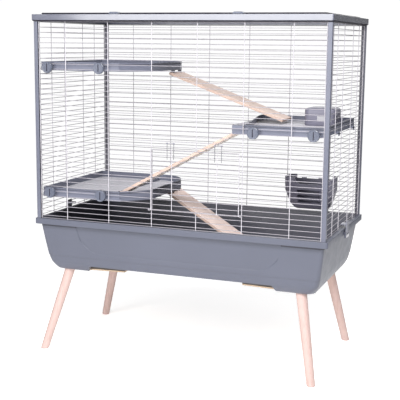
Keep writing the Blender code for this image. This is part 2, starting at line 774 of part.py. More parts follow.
def make_feeder():
    """A hay feeder, narrower below, with a scooped front edge, three slots and two hooks behind."""
    sections = [
        (FEEDER_Z[0], 0.062, 0.196, 0.020),
        (0.492, 0.072, 0.182, 0.022),
        (0.545, 0.087, 0.158, 0.022),
        (FEEDER_Z[1], 0.087, FEEDER_Y[0], 0.022),
    ]
    back = FEEDER_Y[1]

    def ring(section, wall=0.0, lift=0.0):
        z, half, front, radius = section
        x_range = (FEEDER_X - half + wall, FEEDER_X + half - wall)
        return rounded_ring(x_range, (front + wall, back - wall), radius - wall, z + lift)

    feeder = loft("hay_feeder", [ring(section) for section in sections], DARK_GREY)
    inner = [ring(section, WALL, WALL) for section in sections]
    half_scoop = ((-0.050, 0.62), (-0.050, 0.578), (-0.038, 0.568))
    scoop_edge = half_scoop + tuple((-x, z) for x, z in reversed(half_scoop))
    scoop_rings = [[(FEEDER_X + 0.006 + x, y, z) for x, z in scoop_edge] for y in (0.14, 0.19)]
    scoop = loft("feeder_scoop", scoop_rings)
    slots = [((0.290, 0.14, z), (0.370, 0.20, z + 0.009)) for z in (0.500, 0.519, 0.538)]
    wire_top = row_above(0.565)
    outer = FRONT_Y + PANEL_DEPTH / 2 + 0.0005
    arms, tips = [], []
    for x in (0.285, 0.345):
        arms.append(((x, back - 0.002, wire_top + GAP), (x + 0.015, outer + 0.0018, wire_top + 0.007)))
        tips.append(((x, outer, wire_top - 0.006), (x + 0.015, outer + 0.0018, wire_top + 0.004)))
    cut(feeder, loft("feeder_inside", inner), scoop, blocks("feeder_slots", slots))
    join(feeder, blocks("feeder_hook_arms", arms), blocks("feeder_hook_tips", tips))


def make_bowl():
    """A food bowl with two windows in its front, under a domed hood."""

    def ring(z, wall=0.0):
        x_range = (BOWL_X[0] + wall, BOWL_X[1] - wall)
        return rounded_ring(x_range, (BOWL_Y[0] + wall, BOWL_Y[1] - wall), 0.020 - min(wall, 0.012), z)

    low, high = BOWL_Z
    bowl = loft("food_bowl", [ring(low, 0.004), ring(low + 0.006), ring(high)], DARK_GREY)
    inside = loft("bowl_inside", [ring(z, WALL) for z in (low + WALL, high + 0.01)])
    windows = [
        ((x, 0.0, 0.7970), (x + width, 0.03, 0.8150)) for x, width in ((0.387, 0.024), (0.4215, 0.018))
    ]
    cut(bowl, inside, blocks("bowl_windows", windows))
    base, rise = high + GAP, HOOD_TOP - high - GAP
    dome = [(0.0, 0.0), (0.0, 0.45), (0.003, 0.70), (0.010, 0.88), (0.022, 0.97), (0.034, 1.0)]
    hood = loft("food_bowl_hood", [ring(base + rise * up, wall) for wall, up in dome], DARK_GREY)
    inner = [(WALL, -0.1), (WALL, 0.42), (0.008, 0.68), (0.016, 0.80), (0.030, 0.86)]
    cut(hood, loft("hood_inside", [ring(base + rise * up, wall) for wall, up in inner]))


def make_rim_clips():
    """A lever on each end of the rim, which hooks over the lowest level wire of the side panel."""
    axle_y = (CLIP_Y[0] + CLIP_Y[1]) / 2
    y_low, y_high = CLIP_Y
    nose_z = row_above(0.470) + 0.0010
    for side, sign in SIDES.items():

        def upright(name, x_range, y_range, z_range, look=None):
            low_x, high_x = spread(*x_range, sign)
            return block(name, (low_x, y_range[0], z_range[0]), (high_x, y_range[1], z_range[1]), look)

        axis = (sign * CLIP_AXIS_X, axle_y, CLIP_AXIS_Z)
        base = upright(f"clip_base_{side}", (0.5003, 0.5080), (y_low, y_high), CLIP_BASE_Z, FRAME_GREY)
        fork_y = (y_low + 0.004, y_high - 0.004)
        gap = upright(f"clip_base_gap_{side}", (0.5020, 0.52), fork_y, (CLIP_FORK_Z, 0.46))
        hole = rod(f"clip_base_bore_{side}", axis, "Y", PIN_HOLE_R, 0.06)
        cut(base, gap, hole)

        inner_y = (y_low + 0.0046, y_high - 0.0046)
        lever = upright(f"rim_clip_{side}", (0.5035, 0.5070), inner_y, CLIP_LEVER_Z, FRAME_GREY)
        nose = upright(f"clip_nose_{side}", (0.4868, 0.5050), inner_y, (nose_z, nose_z + 0.003))
        axle = rod(f"clip_axle_{side}", axis, "Y", PIN_R, y_high - y_low - 0.001, sides=12)
        join(lever, nose, axle)
        for piece in (lever, nose, axle):
            pivot(piece, axis)


make_tub()
make_legs()
make_leg_boards()
make_posts()
make_top_frame()
make_panels()
make_roof()
make_door()
make_platforms()
make_knobs()
make_ramps()
make_feeder()
make_bowl()
make_rim_clips()
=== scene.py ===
"""The multi-level cage's finished look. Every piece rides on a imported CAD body, in the CAD's own frame:
metres, +Z up, front towards -Y."""

import math

import bmesh
import bpy
from mathutils import Matrix, Vector


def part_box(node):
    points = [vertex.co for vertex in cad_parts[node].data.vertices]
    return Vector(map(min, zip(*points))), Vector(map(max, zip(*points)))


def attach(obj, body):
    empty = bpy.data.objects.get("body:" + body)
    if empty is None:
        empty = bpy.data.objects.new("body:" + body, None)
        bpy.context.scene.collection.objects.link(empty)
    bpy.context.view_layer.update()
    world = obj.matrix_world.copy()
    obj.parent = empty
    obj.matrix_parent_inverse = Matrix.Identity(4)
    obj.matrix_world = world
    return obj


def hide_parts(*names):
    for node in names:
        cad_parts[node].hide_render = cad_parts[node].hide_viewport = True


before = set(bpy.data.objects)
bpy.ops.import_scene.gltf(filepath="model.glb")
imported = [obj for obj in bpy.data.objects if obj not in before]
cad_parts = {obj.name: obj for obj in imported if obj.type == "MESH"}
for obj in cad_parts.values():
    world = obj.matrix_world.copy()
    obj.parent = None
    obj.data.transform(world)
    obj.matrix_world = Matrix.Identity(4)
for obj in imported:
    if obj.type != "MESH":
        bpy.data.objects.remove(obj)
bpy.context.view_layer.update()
scene = bpy.context.scene

# ---- dimensions shared with the CAD -------------------------------------------------------------

RIM_X, RIM_Y = 0.500, 0.261
BOARD_TOP, TUB_BASE = 0.2998, 0.2805
LEG_R = (0.01375, 0.0175)  # at the foot and at the top
LEGS = {  # foot and top of each leg's middle line
    "front_left": ((-0.485, -0.238), (-0.4090, -0.186)),
    "front_right": ((0.458, -0.243), (0.4045, -0.186)),
    "back_left": ((-0.474, 0.208), (-0.4090, 0.186)),
    "back_right": ((0.461, 0.250), (0.4045, 0.186)),
}
PANEL_Z, BORDER = (0.4603, 1.1077), 0.003
ROW_FIRST, ROW_PITCH = 0.4702, 0.016737
LEVELS = [ROW_FIRST + ROW_PITCH * row for row in range(38)]
FRONT_Y, SIDE_X = 0.25215, 0.48615
FRONT_UPRIGHTS = [0.1515 * (i - 2.5) - 0.0015 for i in range(6)]
BACK_UPRIGHTS = [0.1510 * (i - 2.5) + 0.0035 for i in range(6)]
SIDE_UPRIGHTS = (-0.156, -0.066, 0.066, 0.156)
FRONT_HALF, SIDE_HALF = 0.4778, 0.2438
LEVEL_R, UPRIGHT_R = 0.0010, 0.00125
PANEL_OUT = 0.00215  # from a panel's middle plane to its outer face
DOORWAY_X, DOORWAY_Z = (-0.0745, 0.2145), (0.5190, 0.7095)
TRAY_FRONT, TRAY_BACK, TRAY_FLOOR, WALL = -0.244, 0.190, 0.009, 0.003
PIVOTS = {  # each ramp's pin (x, z), middle y, width, slope in degrees and length
    "upper": ((-0.128, 0.9395), 0.075, 0.110, 20.0, 0.4250),
    "middle": ((0.178, 0.768), -0.150, 0.100, 180.0 - 28.7, 0.4590),
    "lower": ((-0.128, 0.5265), 0.065, 0.110, 32.0, 0.4070),
}
NOTCH_Y, LUG_W, LUG_R = 0.030, 0.011, 0.0045
HOOK_GAP, HOOK_THICK = 0.0005, 0.0018
PIN_BORE_R = 0.0019
SIDES = {"left": -1, "right": 1}
DEPTHS = {"front": -1, "back": 1}

# ---- materials ----------------------------------------------------------------------------------


class Look:
    """A node material being wired up."""

    def __init__(self, name):
        self.material = bpy.data.materials.new(name)
        self.material.use_nodes = True
        self.tree = self.material.node_tree
        self.shader = self.tree.nodes["Principled BSDF"]
        self.coordinates = self.tree.nodes.new("ShaderNodeTexCoord").outputs["Object"]

    def link(self, output, target):
        self.tree.links.new(output, target)

    def stretched(self, scale):
        mapping = self.tree.nodes.new("ShaderNodeMapping")
        mapping.inputs["Scale"].default_value = scale
        self.link(self.coordinates, mapping.inputs["Vector"])
        return mapping.outputs["Vector"]

    def noise(self, scale, detail=3.0, roughness=0.5, distortion=0.0, vector=None):
        made = self.tree.nodes.new("ShaderNodeTexNoise")
        made.inputs["Scale"].default_value = scale
        made.inputs["Detail"].default_value = detail
        made.inputs["Roughness"].default_value = roughness
        made.inputs["Distortion"].default_value = distortion
        self.link(vector or self.coordinates, made.inputs["Vector"])
        return made.outputs["Fac"]

    def ramp(self, factor, *stops):
        made = self.tree.nodes.new("ShaderNodeValToRGB")
        elements = made.color_ramp.elements
        while len(elements) < len(stops):
            elements.new(0.5)
        for element, (position, colour) in zip(elements, stops):
            element.position = position
            element.color = (*colour, 1.0)
        self.link(factor, made.inputs["Fac"])
        return made.outputs["Color"]

    def spread(self, factor, low, high):
        """The middle of a noise's range, mapped to low and high."""
        made = self.tree.nodes.new("ShaderNodeMapRange")
        made.inputs["From Min"].default_value = 0.3
        made.inputs["From Max"].default_value = 0.7
        made.inputs["To Min"].default_value = low
        made.inputs["To Max"].default_value = high
        self.link(factor, made.inputs["Value"])
        return made.outputs["Result"]

    def mix(self, share, first, second):
        made = self.tree.nodes.new("ShaderNodeMix")
        made.data_type = "RGBA"
        made.inputs[0].default_value = share
        self.link(first, made.inputs[6])
        self.link(second, made.inputs[7])
        return made.outputs[2]

    def bump(self, *layers):
        """Each layer is (height, distance, strength)."""
        normal = None
        for height, distance, strength in layers:
            made = self.tree.nodes.new("ShaderNodeBump")
            made.inputs["Distance"].default_value = distance
            made.inputs["Strength"].default_value = strength
            self.link(height, made.inputs["Height"])
            if normal:
                self.link(normal, made.inputs["Normal"])
            normal = made.outputs["Normal"]
        self.link(normal, self.shader.inputs["Normal"])


def shade(colour, by):
    return tuple(min(1.0, channel * by) for channel in colour)


def plastic(name, colour, roughness):
    """Moulded plastic: a fine spark-eroded grain, slow colour drift and patchy gloss."""
    look = Look(name)
    tint, grain_depth, wave_depth = 0.045, 0.00006, 0.0008
    drift = look.noise(5.0, 4.0, 0.55)
    fine = look.noise(1400.0, 2.0)
    look.link(
        look.ramp(drift, (0.30, shade(colour, 1 - tint)), (0.70, shade(colour, 1 + tint))),
        look.shader.inputs["Base Color"],
    )
    patches = look.noise(28.0, 5.0, 0.6)
    look.link(look.spread(patches, roughness - 0.05, roughness + 0.06), look.shader.inputs["Roughness"])
    look.bump((fine, grain_depth, 0.35), (look.noise(9.0, 2.0), wave_depth, 0.15))
    return look.material


def wood(name, pale, dark, along, roughness=0.6, flecks=0.5):
    """Planed wood with its grain along one axis, short pores and slow bands of colour."""
    look = Look(name)

    def drawn_out(across, lengthways):
        scale = [across] * 3
        scale["XYZ".index(along)] = lengthways
        return look.stretched(scale)

    grain = look.noise(1.0, 5.0, 0.62, 0.5, drawn_out(260.0, 14.0))
    band = look.noise(1.0, 3.0, 0.5, 1.6, drawn_out(30.0, 5.0))
    middle = tuple((a + b) / 2 for a, b in zip(pale, dark))
    base = look.ramp(band, (0.30, pale), (0.55, shade(pale, 0.96)), (0.75, middle))
    lines = look.ramp(grain, (0.34, dark), (0.52, pale), (0.80, shade(pale, 1.05)))
    look.link(look.mix(flecks, base, lines), look.shader.inputs["Base Color"])
    look.link(look.spread(grain, roughness + 0.08, roughness - 0.08), look.shader.inputs["Roughness"])
    look.bump((grain, 0.0003, 0.35))
    return look.material


def metal(name, colour, roughness, metallic):
    """Wire and pins, bare or painted, with slightly uneven gloss."""
    look = Look(name)
    look.shader.inputs["Metallic"].default_value = metallic
    drift = look.noise(60.0, 4.0, 0.6)
    look.link(
        look.ramp(drift, (0.30, shade(colour, 0.90)), (0.70, shade(colour, 1.06))),
        look.shader.inputs["Base Color"],
    )
    look.link(look.spread(drift, roughness - 0.06, roughness + 0.10), look.shader.inputs["Roughness"])
    look.bump((look.noise(2500.0, 2.0), 0.00004, 0.3))
    return look.material


TUB = plastic("tub_grey", (0.083, 0.089, 0.121), 0.40)
# painted shade: the tub's inside lining is a slightly darker copy of the tub grey, for the shaded inside
TUB_INSIDE_SHADED = plastic("tub_inside_shaded_grey", (0.078, 0.079, 0.104), 0.32)
# painted shadow: dark grey on the tub wall under the lip and on the lip's underside, where the lip casts
# its shadow
TUB_LIP_SHADOW = plastic("tub_lip_shadow_grey", (0.040, 0.041, 0.058), 0.55)
# painted shade: a slightly darker grey along the small step low on the tub wall, for the shadow under its
# overhang
TUB_STEP_SHADE = plastic("tub_step_shade_grey", (0.082, 0.086, 0.114), 0.45)
FRAME = plastic("frame_grey", (0.100, 0.104, 0.138), 0.18)
POST = plastic("post_grey", (0.110, 0.116, 0.155), 0.34)
# painted shade: a darker copy of the post grey on the back posts' inner faces, the shaded inside of each
# L
POST_INNER_SHADE = plastic("post_inner_shade_grey", (0.070, 0.069, 0.090), 0.45)
FRAME_SHADE = plastic("frame_shade_grey", (0.020, 0.019, 0.028), 0.55)
TRAY = plastic("tray_grey", (0.138, 0.145, 0.190), 0.34)
TRAY_FLOOR_LOOK = plastic("tray_floor_grey", (0.430, 0.425, 0.455), 0.42)
# painted shade: dark grey in the groove under each tray's lip
TRAY_GROOVE_SHADE = plastic("tray_groove_shade_grey", (0.060, 0.061, 0.082), 0.50)
KNOB = plastic("knob_grey", (0.086, 0.095, 0.130), 0.30)
PALE = plastic("pale_grey", (0.200, 0.204, 0.246), 0.35)
DARK = plastic("dark_grey", (0.178, 0.173, 0.228), 0.34)
# painted shade: dark grey on the walls and floor of each knob's coin slot
KNOB_SLOT_SHADE = plastic("knob_slot_shade_grey", (0.045, 0.045, 0.070), 0.60)
BEECH = wood("beech", (0.505, 0.370, 0.342), (0.400, 0.258, 0.222), "Z", 0.58, 0.40)
# painted light and shade: one birch in three copies of different brightness, each set to how its ramp is
# lit
BIRCHES_AS_LIT = {
    "upper": wood("birch_upper", (0.790, 0.630, 0.560), (0.640, 0.460, 0.390), "X", 0.62, 0.45),
    "middle": wood("birch_middle", (0.960, 0.850, 0.770), (0.820, 0.660, 0.570), "X", 0.62, 0.45),
    "lower": wood("birch_lower", (0.990, 0.800, 0.730), (0.880, 0.650, 0.570), "X", 0.62, 0.45),
}
BIRCH_EDGE = wood("birch_edge", (0.600, 0.450, 0.380), (0.400, 0.280, 0.230), "X", 0.70, 0.60)
# painted shade: dark brown on the leg boards, whose faces lie in shade under the tub; board_edge, the tan
# lower band, is the wood's own colour
BOARD = wood("board_brown", (0.080, 0.065, 0.055), (0.045, 0.036, 0.030), "X", 0.75)
BOARD_EDGE = wood("board_edge", (0.62, 0.46, 0.32), (0.45, 0.30, 0.20), "X", 0.70)
WIRE = metal("painted_wire", (0.52, 0.50, 0.54), 0.34, 0.15)
# painted shade: a darker copy of the wire paint, for the level wires, the door and doorway frames, the
# door's hinge rods and brackets; the real paint is the same
WIRE_SHADED = metal("shaded_wire", (0.30, 0.285, 0.315), 0.40, 0.15)
STEEL = metal("steel", (0.42, 0.42, 0.45), 0.30, 0.9)
TRAY_LOOKS = [TRAY, TRAY_FLOOR_LOOK, TRAY_GROOVE_SHADE]
WIRE_LOOKS = [WIRE, WIRE_SHADED]


def set_finish(material, **settings):
    """Sets the shader's own sockets, such as Coat_Weight for "Coat Weight"."""
    sockets = material.node_tree.nodes["Principled BSDF"].inputs
    for name, value in settings.items():
        sockets[name.replace("_", " ")].default_value = value


set_finish(FRAME, Specular_IOR_Level=0.8, Coat_Weight=0.7, Coat_Roughness=0.08)
set_finish(TRAY, Specular_IOR_Level=0.28)
set_finish(FRAME_SHADE, Specular_IOR_Level=0.12)

# ---- mesh tools ---------------------------------------------------------------------------------


def box_into(bm, low, high, look=0):
    """A box between two corners."""
    size = Vector(high) - Vector(low)
    place = Matrix.Translation((Vector(high) + Vector(low)) / 2) @ Matrix.Diagonal((*size, 1.0))
    made = bmesh.ops.create_cube(bm, size=1.0, matrix=place)
    for face in {face for vert in made["verts"] for face in vert.link_faces}:
        face.material_index = look


def boxes(*corners):
    bm = bmesh.new()
    for low, high in corners:
        box_into(bm, low, high)
    return bm


def circle(radius, sides):
    """Points round the origin, anticlockwise."""
    angles = (2 * math.pi * i / sides for i in range(sides))
    return [(radius * math.cos(angle), radius * math.sin(angle)) for angle in angles]


def skin_into(bm, rings, look):
    """Faces through rings of vertices, with a cap at each end."""
    for lower, upper in zip(rings, rings[1:]):
        for i in range(len(lower)):
            j = (i + 1) % len(lower)
            bm.faces.new((lower[i], lower[j], upper[j], upper[i])).material_index = look
    bm.faces.new(rings[0][::-1]).material_index = look
    bm.faces.new(rings[-1]).material_index = look


def rod_into(bm, start, end, radius, sides=8, look=0):
    """A rod between two points, its ends very slightly domed."""
    start, end = Vector(start), Vector(end)
    axis = end - start
    turn = axis.to_track_quat("Z", "Y").to_matrix()
    cap, tip = min(radius * 0.4, axis.length / 4), radius * 0.55
    stations = ((0.0, tip), (cap, radius), (axis.length - cap, radius), (axis.length, tip))
    rings = [
        [bm.verts.new(start + turn @ Vector((x, y, distance))) for x, y in circle(size, sides)]
        for distance, size in stations
    ]
    skin_into(bm, rings, look)


def tube_into(bm, points, radius, sides):
    """A bent rod through the points, with mitred bends."""
    points = [Vector(point) for point in points]
    steps = [(b - a).normalized() for a, b in zip(points, points[1:])]
    normal = steps[0].orthogonal().normalized()
    rings = []
    for i, point in enumerate(points):
        before = steps[max(i - 1, 0)]
        after = steps[min(i, len(steps) - 1)]
        along = (before + after).normalized()
        normal = (normal - along * normal.dot(along)).normalized()
        across = along.cross(normal)
        turns = circle(1.0, sides)
        rings.append([bm.verts.new(point + radius * (c * normal + s * across)) for c, s in turns])
    skin_into(bm, rings, 0)


def bend(corners, radius):
    """The corner points with each inner corner rounded."""
    steps = 4
    corners = [Vector(corner) for corner in corners]
    path = [corners[0]]
    for before, here, after in zip(corners, corners[1:], corners[2:]):
        start = here + (before - here).normalized() * radius
        end = here + (after - here).normalized() * radius
        for k in range(steps + 1):
            t = k / steps
            path.append(start * (1 - t) ** 2 + here * 2 * t * (1 - t) + end * t**2)
    return path + [corners[-1]]


def rounded(x_range, y_range, radius, z, steps=8):
    """Points round a rectangle with rounded corners, anticlockwise."""
    points = []
    corners = (
        (x_range[1] - radius, y_range[1] - radius, 0),
        (x_range[0] + radius, y_range[1] - radius, 90),
        (x_range[0] + radius, y_range[0] + radius, 180),
        (x_range[1] - radius, y_range[0] + radius, 270),
    )
    for x, y, start in corners:
        for step in range(steps + 1):
            angle = math.radians(start + 90 * step / steps)
            points.append((x + radius * math.cos(angle), y + radius * math.sin(angle), z))
    return points


def loft_into(bm, rings, closed=False, looks=None):
    """Skin through rings of equally many points: capped at both ends, or joined last to first."""
    levels = [[bm.verts.new(point) for point in ring] for ring in rings]
    count = len(levels[0])
    pairs = list(zip(levels, levels[1:] + levels[:1] if closed else levels[1:]))
    for k, (below, above) in enumerate(pairs):
        for i in range(count):
            j = (i + 1) % count
            face = bm.faces.new((below[i], below[j], above[j], above[i]))
            face.material_index = looks[k] if looks else 0
    if not closed:
        bm.faces.new(levels[0]).material_index = looks[0] if looks else 0
        bm.faces.new(levels[-1]).material_index = looks[-1] if looks else 0


def loft(rings, closed=False, looks=None):
    bm = bmesh.new()
    loft_into(bm, rings, closed, looks)
    return bm


def prism(outline, low, high):
    """A flat outline in X and Y between two heights."""
    return loft([[(x, y, z) for x, y in outline] for z in (low, high)])


def in_turn(points):
    """Each point with the next, and the last with the first."""
    return zip(points, points[1:] + points[:1])


def inset(outline, distance):
    """An anticlockwise outline moved inwards."""
    moved = []
    for before, here, after in zip(outline[-1:] + outline[:-1], outline, outline[1:] + outline[:1]):
        arriving = (Vector(here) - Vector(before)).normalized()
        leaving = (Vector(after) - Vector(here)).normalized()
        inward = Vector((-arriving.y - leaving.y, arriving.x + leaving.x)).normalized()
        stretch = distance / inward.dot(Vector((-arriving.y, arriving.x)))
        moved.append(tuple(Vector(here) + inward * stretch))
    return moved


def working(bm):
    """A passing object for a Boolean, with room for every look that a piece can have."""
    bmesh.ops.recalc_face_normals(bm, faces=bm.faces)
    mesh = bpy.data.meshes.new("working")
    bm.to_mesh(mesh)
    bm.free()
    made = bpy.data.objects.new("working", mesh)
    scene.collection.objects.link(made)
    for _ in range(4):
        mesh.materials.append(None)
    return made


def carve(base, *steps):
    """base after each (operation, tool) in turn, every argument a bmesh that is used up."""
    target = working(base)
    tools = [working(tool) for _, tool in steps]
    for (operation, _), tool in zip(steps, tools):
        modifier = target.modifiers.new(operation, "BOOLEAN")
        modifier.operation = operation
        modifier.object = tool
        modifier.solver = "EXACT"
        modifier.material_mode = "INDEX"
    bpy.context.view_layer.update()
    evaluated = target.evaluated_get(bpy.context.evaluated_depsgraph_get())
    result = bmesh.new()
    result.from_mesh(evaluated.to_mesh())
    evaluated.to_mesh_clear()
    for made in (target, *tools):
        mesh = made.data
        bpy.data.objects.remove(made)
        bpy.data.meshes.remove(mesh)
    return result


def absorb(bm, other):
    """Adds other's mesh to bm, and uses it up."""
    mesh = bpy.data.meshes.new("passing")
    other.to_mesh(mesh)
    other.free()
    bm.from_mesh(mesh)
    bpy.data.meshes.remove(mesh)


def look_where(bm, test):
    """Gives the second look to the faces that pass the test."""
    bm.normal_update()
    for face in bm.faces:
        if test(face):
            face.material_index = 1


def bored(bm, start, end, sides, *cuts):
    """bm with a pin's bore through it, after any other cuts."""
    bore = bmesh.new()
    rod_into(bore, start, end, PIN_BORE_R, sides)
    return carve(bm, *cuts, ("DIFFERENCE", bore))


def soften(bm, width, segments=2, angle=32.0):
    """Rounds every edge that is sharper than angle."""
    bmesh.ops.remove_doubles(bm, verts=bm.verts, dist=2e-6)
    bmesh.ops.dissolve_limit(
        bm, angle_limit=math.radians(0.5), verts=bm.verts, edges=bm.edges, delimit={"MATERIAL"}
    )
    bmesh.ops.recalc_face_normals(bm, faces=bm.faces)
    limit = math.radians(angle)
    folds = [edge for edge in bm.edges if len(edge.link_faces) == 2]
    sharp = [edge for edge in folds if edge.calc_face_angle() > limit]
    bmesh.ops.bevel(
        bm, geom=sharp, offset=width, segments=segments, profile=0.5, affect="EDGES", clamp_overlap=True
    )
    return bm


def piece(name, bm, looks, body, nodes, angle=40.0):
    """Makes the object, and hangs it on its CAD body in place of its nodes."""
    bmesh.ops.recalc_face_normals(bm, faces=bm.faces)
    mesh = bpy.data.meshes.new(name)
    bm.to_mesh(mesh)
    bm.free()
    made = bpy.data.objects.new(name, mesh)
    scene.collection.objects.link(made)
    for look in looks if isinstance(looks, (list, tuple)) else [looks]:
        mesh.materials.append(look)
    mesh.shade_smooth()
    mesh.set_sharp_from_angle(angle=math.radians(angle))
    weighted = made.modifiers.new("normals", "WEIGHTED_NORMAL")
    weighted.keep_sharp = True
    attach(made, body)
    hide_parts(*([nodes] if isinstance(nodes, str) else nodes))
    return made


def keep(node):
    """A steel CAD node that stays as it is."""
    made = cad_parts[node]
    if not made.material_slots:
        made.data.materials.append(STEEL)
    for place in made.material_slots:
        place.material = STEEL


# ---- tub ----------------------------------------------------------------------------------------

# each section of the tub is how far it lies inside the rim, its height and its corner radius
TUB_OUTSIDE = [
    (0.0547, 0.2805, 0.022),
    (0.0500, 0.2828, 0.0225),
    (0.0461, 0.2872, 0.023),
    (0.0420, 0.2930, 0.0225),
    (0.0388, 0.2987, 0.021),
    (0.0360, 0.3045, 0.0195),
    (0.0340, 0.3100, 0.018),
    (0.0310, 0.3220, 0.0165),
    (0.0298, 0.3286, 0.016),
    (0.0294, 0.3310, 0.0155),
    (0.0284, 0.3314, 0.015),
    (0.0215, 0.3800, 0.012),
    (0.0147, 0.4330, 0.009),
    (0.0137, 0.4400, 0.009),
    (0.0137, 0.4565, 0.009),
    (0.0034, 0.4565, 0.004),
    (0.0030, 0.4412, 0.004),
    (0.0003, 0.4410, 0.006),
    (0.0, 0.4416, 0.006),
    (0.0, 0.4580, 0.006),
    (0.0007, 0.4594, 0.006),
    (0.0022, 0.4600, 0.006),
]
# look 2 is painted shadow under the lip, and look 3 painted shade along the step lower down
TUB_LOOKS = [0] * 8 + [3] * 2 + [0] * 2 + [2] * 5 + [0] * 5
TUB_LINING = [
    (0.0155, 0.4600, 0.007),
    (0.0167, 0.4592, 0.007),
    (0.0245, 0.3800, 0.010),
    (0.0315, 0.3310, 0.013),
    (0.0345, 0.3190, 0.0145),
    (0.0375, 0.3110, 0.016),
    (0.0410, 0.3065, 0.017),
    (0.0470, 0.3040, 0.018),
]


def tub_ring(inside, z, radius):
    x, y = RIM_X - inside, RIM_Y - inside
    return rounded((-x, x), (-y, y), radius, z, 10)


def panel_recess(sign):
    """The shallow panel in the tub's long wall: straight sides that sweep round into its lower edge."""
    half_top, half_base = 0.350, 0.265
    z_top, z_base, straight = 0.4372, 0.3480, 0.006
    outline = []
    for step in range(13):
        angle = math.radians(90 * step / 12)
        x = half_base + (half_top - half_base) * math.cos(angle)
        outline.append((x, z_base + (z_top - straight - z_base) * (1 - math.sin(angle))))
    half = [(half_top, z_top)] + outline
    points = half + [(-x, z) for x, z in reversed(half)]

    def wall_y(z):
        step_inside, step_z, lean = 0.0284, 0.3314, 0.0147 / 0.1086
        return RIM_Y - step_inside + (z - step_z) * lean

    flank, depth = 0.0022, 0.0011
    rings = []
    for out, grow in ((0.0040, flank * 0.6), (0.0, flank * 0.5), (-depth, -flank * 0.5)):
        ring = []
        for x, z in points:
            moved_x = x + math.copysign(grow, x)
            moved_z = z + (grow if z > (z_top + z_base) / 2 else -grow)
            ring.append((moved_x, sign * (wall_y(moved_z) + out), moved_z))
        rings.append(ring)
    return loft(rings)


def make_tub():
    rings = [tub_ring(*section) for section in TUB_OUTSIDE + TUB_LINING]
    body = loft(rings, looks=TUB_LOOKS + [1] * (len(TUB_LINING) - 1))
    hollow = loft([rounded((-0.440, 0.440), (-0.201, 0.201), 0.030, z) for z in (0.27, 0.3001)])
    half = [(0.3275, 0.27), (0.3275, 0.284), (0.3180, 0.3005)]
    arch = [(-0.3275, 0.27), *half, (-0.3180, 0.3005), (-0.3275, 0.284)]
    raised_middle = loft([[(x, y, z) for x, z in arch] for y in (-0.3, 0.3)])
    cuts = [("DIFFERENCE", hollow), ("DIFFERENCE", raised_middle)]
    cuts += [("DIFFERENCE", panel_recess(sign)) for sign in (-1, 1)]
    looks = [TUB, TUB_INSIDE_SHADED, TUB_LIP_SHADOW, TUB_STEP_SHADE]
    piece("tub_shell", carve(body, *cuts), looks, "cage", "tub", 32)


# ---- legs ---------------------------------------------------------------------------------------


def make_legs():
    top, sides = 0.2802, 64
    for place, (foot, crown) in LEGS.items():
        rings = []
        for z, trim in ((0.0, 0.0016), (0.0008, 0.0006), (0.0022, 0.0), (0.14, 0.0), (top, 0.0)):
            share = z / TUB_BASE
            x, y = (f + (t - f) * share for f, t in zip(foot, crown))
            radius = LEG_R[0] + (LEG_R[1] - LEG_R[0]) * share - trim
            rings.append([(x + across, y + deep, z) for across, deep in circle(radius, sides)])
        piece(f"turned_leg_{place}", loft(rings), BEECH, "cage", f"leg_{place}")
        keep(f"leg_stud_{place}")


def make_leg_boards():
    half = [(0.208, 0.180), (0.326, 0.190), (0.330, 0.199), (0.415, 0.199), (0.437, 0.178)]
    heights = (TUB_BASE, TUB_BASE + 0.0045, BOARD_TOP)
    for side, sign in SIDES.items():
        outline = [(sign * x, y) for x, y in half] + [(sign * x, -y) for x, y in reversed(half)]
        # the tan lower band is the wood's own colour, and the dark brown above it painted shade
        bm = loft([[(x, y, z) for x, y in outline] for z in heights], looks=[1, 0])
        name = f"leg_board_{side}"
        piece(f"ply_{name}", soften(bm, 0.0006), [BOARD, BOARD_EDGE], "cage", name)


# ---- cage shell ---------------------------------------------------------------------------------

POST_X, POST_Y, POST_SIDE = 0.4925, 0.2585, 0.0142


def make_posts():
    low, high = PANEL_Z
    for depth, sy in DEPTHS.items():
        for side, sx in SIDES.items():
            x_range = sorted((sx * POST_X, sx * (POST_X - POST_SIDE)))
            y_range = sorted((sy * POST_Y, sy * (POST_Y - POST_SIDE)))
            bm = loft([rounded(x_range, y_range, 0.0011, z, 4) for z in (low, low + 0.3, high)])
            # the faces that face into the cage get painted shade
            look_where(bm, lambda face: face.normal.x * sx < -0.8 or face.normal.y * sy < -0.8)
            node = f"post_{depth}_{side}"
            inner = FRAME_SHADE if depth == "front" else POST_INNER_SHADE
            piece(f"tube_{node}", bm, [POST, inner], "cage", node)


def framed_ring(outer, width, z_range, corner, fillet, undercut=0.0):
    """A level rail round a rectangle, with rounded corners and edges. Its lower outer edge can be
    cut back."""
    low, high = z_range
    lip = max(undercut, fillet)
    profile = [
        (lip * 0.9, low),
        (lip * 0.3, low + lip * 0.55),
        (0.0, low + lip),
        (0.0, high - fillet),
        (fillet * 0.3, high - fillet * 0.3),
        (fillet, high),
        (width - fillet, high),
        (width - fillet * 0.3, high - fillet * 0.3),
        (width, high - fillet),
        (width, low + fillet),
        (width - fillet * 0.3, low + fillet * 0.3),
        (width - fillet, low),
    ]
    rings = []
    for inside, z in profile:
        x, y = outer[0] - inside, outer[1] - inside
        rings.append(rounded((-x, x), (-y, y), max(corner - inside, 0.002), z))
    return loft(rings, closed=True)


def make_top_frame():
    outer = (0.4965, 0.265)
    bm = framed_ring(outer, 0.022, (1.108, 1.130), corner=0.004, fillet=0.0012, undercut=0.0038)
    look_where(bm, lambda face: face.normal.z < -0.3)
    piece("top_rails", bm, [FRAME, FRAME_SHADE], "cage", "top_frame")


def evenly(z_range, rows):
    """The levels of the wires that divide a panel into equal rows."""
    low, high = z_range
    pitch = (high - low - BORDER) / rows
    return [low + BORDER / 2 + pitch * row for row in range(1, rows)]


